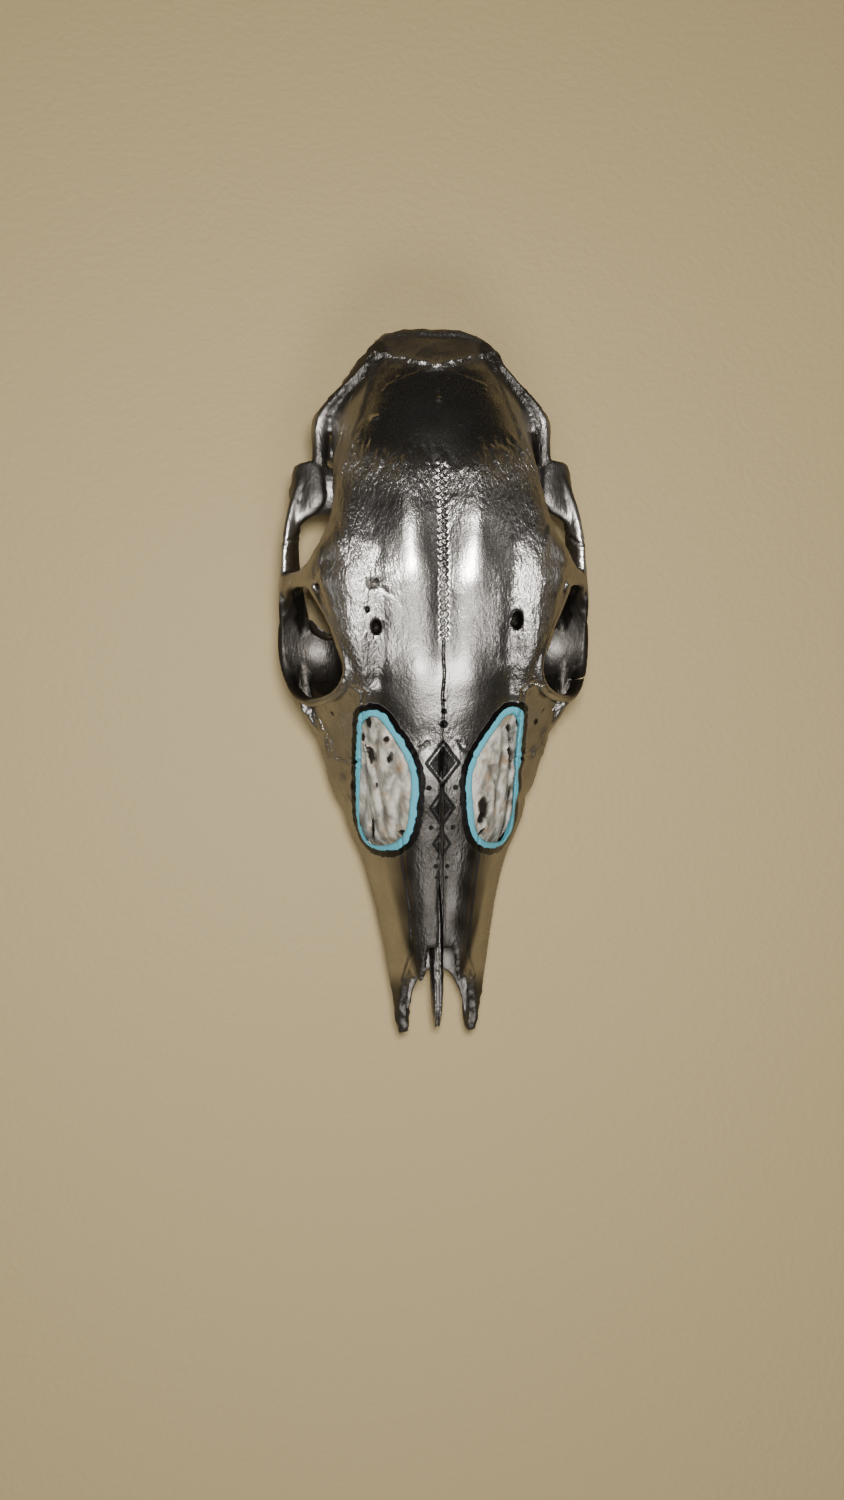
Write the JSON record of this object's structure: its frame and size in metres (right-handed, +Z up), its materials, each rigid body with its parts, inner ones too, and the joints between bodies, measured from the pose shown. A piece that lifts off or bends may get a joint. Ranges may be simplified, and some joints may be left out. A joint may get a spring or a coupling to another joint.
{
  "type": "deer skull",
  "caption": "Painted skull of an antlerless deer without its lower jaw, nose bones open at the front, lying on its cheek teeth and the processes behind them.",
  "frame": {"origin": "on the floor it lies on, under the middle of the skull's length and width", "axes": "+Z up, +Y towards the back of the head, -Y towards the nose, +X towards the animal's left"},
  "size_m": [0.111, 0.2534, 0.088],
  "materials": {
    "silver_paint": "glossy silver spray paint over bone",
    "tooth_enamel": "silver spray paint over tooth enamel",
    "bare_bone": "bare matt off-white bone"
  },
  "bodies": {
    "root": {"concha_left": "bare_bone", "concha_right": "bare_bone", "frontal_left": "silver_paint", "frontal_right": "silver_paint", "lacrimal_left": "silver_paint", "lacrimal_right": "silver_paint", "maxilla_left": "silver_paint", "maxilla_right": "silver_paint", "nasal_left": "silver_paint", "nasal_right": "silver_paint", "occipital": "silver_paint", "parietal": "silver_paint", "sphenoid": "silver_paint", "teeth_left": "tooth_enamel", "teeth_right": "tooth_enamel", "temporal_left": "silver_paint", "temporal_right": "silver_paint", "vomer": "silver_paint", "zygomatic_left": "silver_paint", "zygomatic_right": "silver_paint"}
  },
  "joints": []
}
